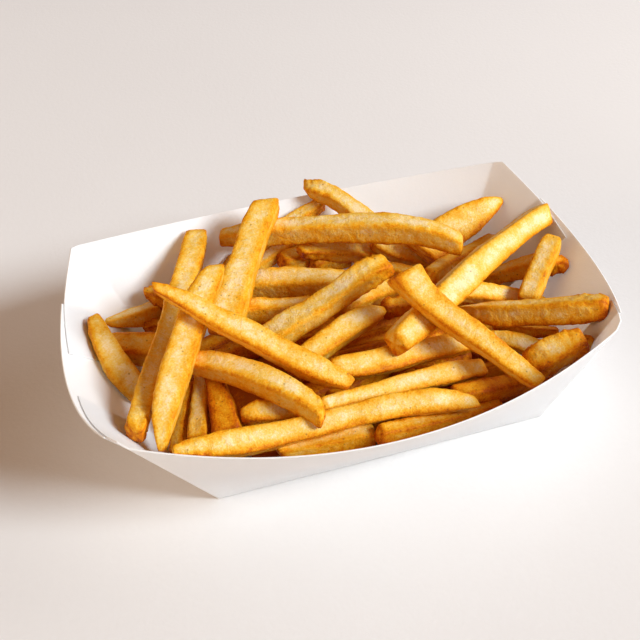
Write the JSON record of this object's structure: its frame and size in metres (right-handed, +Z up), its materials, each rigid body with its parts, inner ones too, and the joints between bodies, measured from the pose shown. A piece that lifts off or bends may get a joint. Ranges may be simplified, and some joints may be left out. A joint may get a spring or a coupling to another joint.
{
  "type": "paper food tray of french fries",
  "caption": "Open folded paperboard boat tray with flared walls and glued end panels, heaped with golden straight-cut fries.",
  "frame": {"origin": "the middle of the base's underside, on the surface the tray rests on", "axes": "+X along the tray's longer side, +Y across it, +Z up"},
  "size_m": [0.1937, 0.1438, 0.0607],
  "materials": {
    "board": "white uncoated paperboard, matte, with raw cut edges and pressed creases",
    "fried_potato": "fried potato: pale gold faces, browner edges and ends, finely blistered, a slight sheen of oil"
  },
  "bodies": {
    "root": {"tray": "board", "fries": "fried_potato"}
  },
  "joints": []
}
